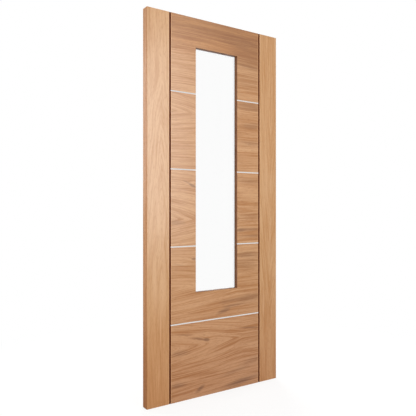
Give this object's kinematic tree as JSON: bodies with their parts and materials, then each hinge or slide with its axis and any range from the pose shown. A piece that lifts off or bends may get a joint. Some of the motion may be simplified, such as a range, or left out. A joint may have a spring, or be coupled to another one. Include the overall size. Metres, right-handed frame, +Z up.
{
  "type": "glazed interior door leaf",
  "caption": "Flush oak-veneered interior door leaf with a tall narrow clear window, dark grooves beside the stiles and thin aluminium inlays across the centre.",
  "frame": {"origin": "foot of the hinge edge, half way through the thickness", "axes": "+X across the leaf from the hinge edge to the latch edge, the front face looks to -Y, +Z up"},
  "size_m": [0.838, 0.044, 1.981],
  "materials": {
    "upright_veneer": "satin lacquered oak veneer, grain upright",
    "cross_veneer": "satin lacquered oak veneer, grain across",
    "solid_oak": "satin lacquered solid oak",
    "dark_oak": "dark stained solid oak",
    "softwood_core": "sawn laminated softwood",
    "dark_strip": "dark stained wood",
    "inlay_metal": "satin aluminium",
    "clear_glass": "clear polished glass"
  },
  "bodies": {
    "root": {"back_centre_skin": "cross_veneer", "back_hinge_groove_strip": "dark_strip", "back_inlay_1_left": "inlay_metal", "back_inlay_1_right": "inlay_metal", "back_inlay_2_left": "inlay_metal", "back_inlay_2_right": "inlay_metal", "back_inlay_3_left": "inlay_metal", "back_inlay_3_right": "inlay_metal", "back_inlay_4": "inlay_metal", "back_latch_groove_strip": "dark_strip", "bottom_rail_core": "softwood_core", "front_centre_skin": "cross_veneer", "front_hinge_groove_strip": "dark_strip", "front_inlay_1_left": "inlay_metal", "front_inlay_1_right": "inlay_metal", "front_inlay_2_left": "inlay_metal", "front_inlay_2_right": "inlay_metal", "front_inlay_3_left": "inlay_metal", "front_inlay_3_right": "inlay_metal", "front_inlay_4": "inlay_metal", "front_latch_groove_strip": "dark_strip", "glass_pane": "clear_glass", "glazing_bead_bottom": "solid_oak", "glazing_bead_left": "solid_oak", "glazing_bead_right": "solid_oak", "glazing_bead_top": "solid_oak", "hinge_lipping": "solid_oak", "hinge_mullion_core": "softwood_core", "hinge_stile_back_skin": "upright_veneer", "hinge_stile_core": "softwood_core", "hinge_stile_front_skin": "upright_veneer", "latch_lipping": "solid_oak", "latch_mullion_core": "softwood_core", "latch_stile_back_skin": "upright_veneer", "latch_stile_core": "softwood_core", "latch_stile_front_skin": "upright_veneer", "top_rail_core": "softwood_core", "window_lining_bottom": "dark_oak", "window_lining_left": "dark_oak", "window_lining_right": "dark_oak", "window_lining_top": "dark_oak"}
  },
  "joints": []
}
